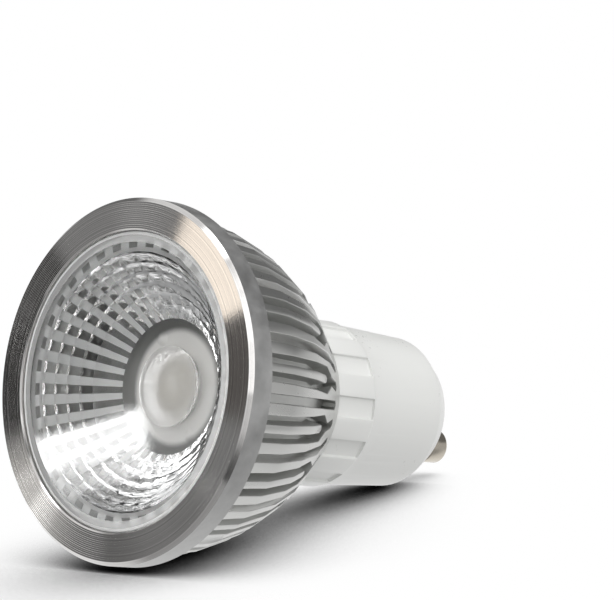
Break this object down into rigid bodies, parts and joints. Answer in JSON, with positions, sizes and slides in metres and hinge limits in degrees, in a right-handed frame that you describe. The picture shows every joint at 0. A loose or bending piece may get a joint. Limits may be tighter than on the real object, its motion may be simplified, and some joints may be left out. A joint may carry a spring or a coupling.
{
  "type": "gu10 spotlight bulb",
  "caption": "Reflector spotlight lamp with a finned bell-shaped metal body, a turned front ring, a clear faceted lens and a white base with a pair of twist-lock contact pins.",
  "frame": {"origin": "centre of the front ring's face, which the lamp stands on", "axes": "+Z along the lamp axis from the front face to the contact pins, +Y from pin to pin"},
  "size_m": [0.05, 0.05, 0.0623],
  "materials": {
    "turned_aluminium": "turned, fine concentric marks",
    "clear_lens": "clear moulded, frosted dome",
    "cast_aluminium": "satin bright",
    "white_board": "white solder mask",
    "grey_pad": "soft matt",
    "white_silicone": "soft matt",
    "phosphor": "matt",
    "steel_screw": "zinc plated",
    "white_plastic": "moulded, semi-gloss",
    "nickel_plate": "bright nickel plate",
    "green_board": "solder mask",
    "brown_wire": "sleeve",
    "blue_wire": "sleeve",
    "red_wire": "sleeve",
    "black_wire": "sleeve",
    "resistor_body": "coated",
    "capacitor_sleeve": "shrink sleeve",
    "ferrite": "sintered",
    "winding_tape": "taped",
    "black_package": "moulded"
  },
  "bodies": {
    "root": {"front_ring": "turned_aluminium", "lens": "clear_lens", "heat_sink": "cast_aluminium", "led_board": "white_board", "thermal_pad": "grey_pad", "led_dam": "white_silicone", "led_phosphor": "phosphor", "housing_screws": "steel_screw", "base_housing": "white_plastic", "contact_pin_left": "nickel_plate", "contact_pin_right": "nickel_plate", "driver_board": "green_board", "live_wire": "brown_wire", "neutral_wire": "blue_wire", "led_wire_positive": "red_wire", "led_wire_negative": "black_wire", "fuse_resistor": "resistor_body", "input_capacitor": "capacitor_sleeve", "output_capacitor": "capacitor_sleeve", "transformer_core": "ferrite", "transformer_winding": "winding_tape", "rectifier_diode": "black_package", "driver_chip": "black_package", "bridge_rectifier": "black_package"}
  },
  "joints": []
}
